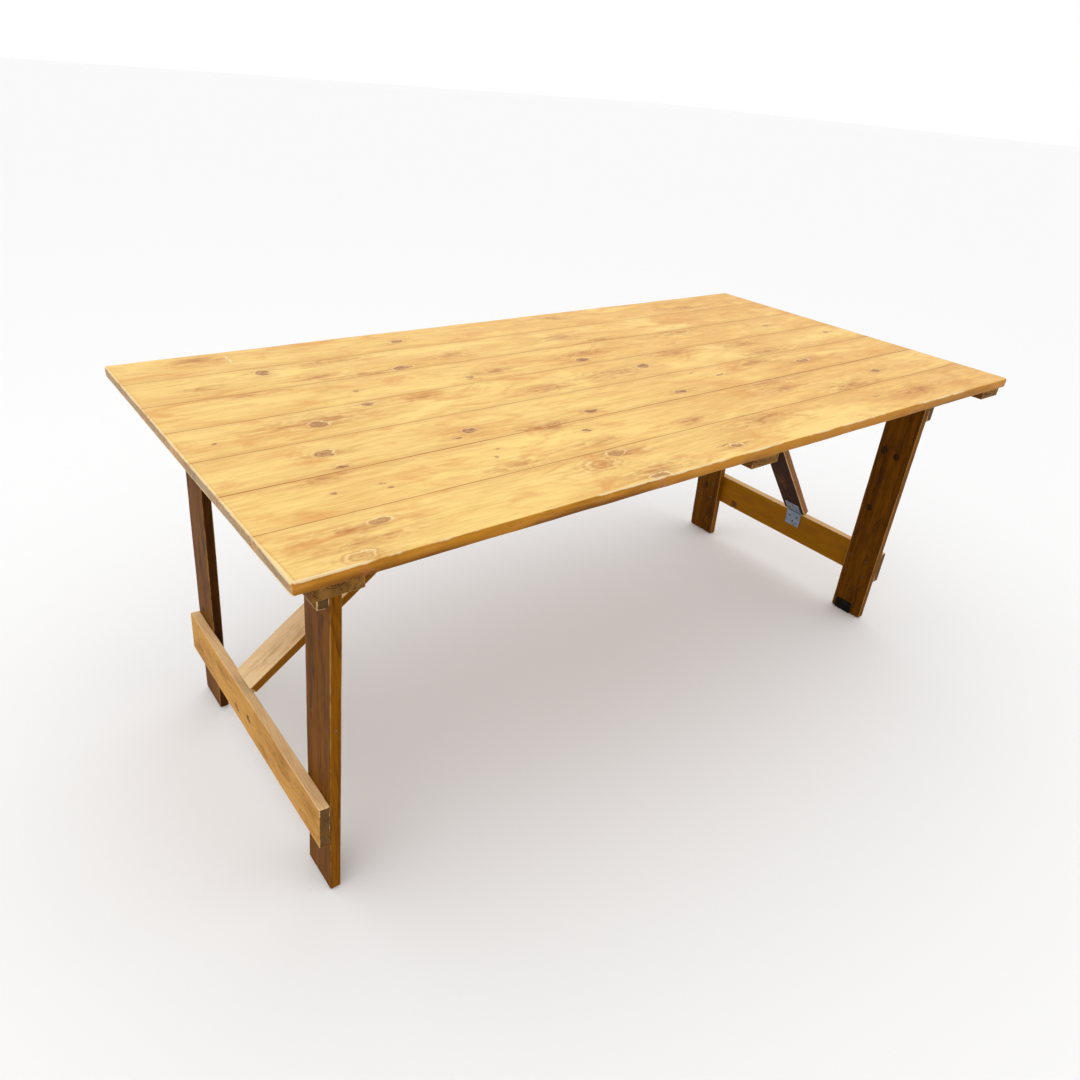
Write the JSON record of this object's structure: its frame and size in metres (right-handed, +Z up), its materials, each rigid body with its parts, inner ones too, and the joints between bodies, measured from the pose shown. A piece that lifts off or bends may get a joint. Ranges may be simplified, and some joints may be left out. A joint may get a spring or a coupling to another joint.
{
  "type": "folding trestle table",
  "caption": "Long plank-topped wooden table on two splayed leg frames that fold flat inward, each held open by a hinged diagonal strut.",
  "frame": {"origin": "on the floor under the middle of the top", "axes": "+X along the boards, from the end with the low strut to the end with the steep strut; -Y towards the front, +Z up"},
  "size_m": [1.83, 0.91, 0.76],
  "materials": {
    "top_wood": "honey stain under worn satin wax",
    "batten_wood": "dark brown stain, matt",
    "frame_wood": "dark brown stain, matt, worn at the foot",
    "rail_wood": "mid brown stain, matt",
    "strut_wood": "pale tan worn stain",
    "zinc": "zinc plated",
    "screw_steel": "dull passivated steel",
    "rubber": "matt black"
  },
  "bodies": {
    "top": {"plank_1": "top_wood", "plank_2": "top_wood", "plank_3": "top_wood", "plank_4": "top_wood", "plank_5": "top_wood", "plank_6": "top_wood", "plank_7": "top_wood", "batten_left": "batten_wood", "batten_centre": "batten_wood", "batten_right": "batten_wood", "hinge_rail_left": "batten_wood", "hinge_rail_right": "batten_wood", "strut_keeper_left": "batten_wood", "strut_keeper_right": "batten_wood", "leg_hinge_fixed_front_left": "zinc", "leg_hinge_pin_front_left": "zinc", "leg_hinge_fixed_back_left": "zinc", "leg_hinge_pin_back_left": "zinc", "leg_hinge_fixed_front_right": "zinc", "leg_hinge_pin_front_right": "zinc", "leg_hinge_fixed_back_right": "zinc", "leg_hinge_pin_back_right": "zinc"},
    "left_frame": {"leg_front_left": "frame_wood", "leg_back_left": "frame_wood", "foot_rail_left": "rail_wood", "top_rail_left": "rail_wood", "leg_hinge_leaf_front_left": "zinc", "leg_hinge_leaf_back_left": "zinc", "strut_hinge_rail_left": "zinc", "strut_hinge_pin_left": "zinc", "screw_front_left_1": "screw_steel", "screw_front_left_2": "screw_steel", "screw_front_left_3": "screw_steel", "screw_front_left_4": "screw_steel", "screw_back_left_1": "screw_steel", "screw_back_left_2": "screw_steel", "screw_back_left_3": "screw_steel", "screw_back_left_4": "screw_steel"},
    "right_frame": {"leg_front_right": "frame_wood", "leg_back_right": "frame_wood", "foot_rail_right": "rail_wood", "top_rail_right": "rail_wood", "leg_hinge_leaf_front_right": "zinc", "leg_hinge_leaf_back_right": "zinc", "strut_hinge_rail_right": "zinc", "strut_hinge_pin_right": "zinc", "screw_front_right_1": "screw_steel", "screw_front_right_2": "screw_steel", "screw_front_right_3": "screw_steel", "screw_front_right_4": "screw_steel", "screw_back_right_1": "screw_steel", "screw_back_right_2": "screw_steel", "screw_back_right_3": "screw_steel", "screw_back_right_4": "screw_steel", "foot_pad": "rubber"},
    "left_strut": {"strut_left": "strut_wood", "strut_hinge_leaf_left": "zinc"},
    "right_strut": {"strut_right": "strut_wood", "strut_hinge_leaf_right": "zinc"}
  },
  "joints": [
    {"name": "left_fold", "type": "hinge", "parent": "top", "child": "left_frame", "pos_m": [-0.79146, 0, 0.7175], "axis": [0, -1, 0], "range_deg": [0, 93.57]},
    {"name": "right_fold", "type": "hinge", "parent": "top", "child": "right_frame", "pos_m": [0.79146, 0, 0.7175], "axis": [0, 1, 0], "range_deg": [0, 93.57]},
    {"name": "left_strut_swing", "type": "hinge", "parent": "left_frame", "child": "left_strut", "pos_m": [-0.84293, 0.038, 0.2185], "axis": [0, 1, 0], "range_deg": [0, 129.19]},
    {"name": "right_strut_swing", "type": "hinge", "parent": "right_frame", "child": "right_strut", "pos_m": [0.84293, -0.038, 0.2185], "axis": [0, -1, 0], "range_deg": [0, 144.89]}
  ],
  "couplings": [
    {"joint": "left_strut_swing", "follows": "left_fold", "ratio": 1.3805},
    {"joint": "right_strut_swing", "follows": "right_fold", "ratio": 1.5483}
  ]
}
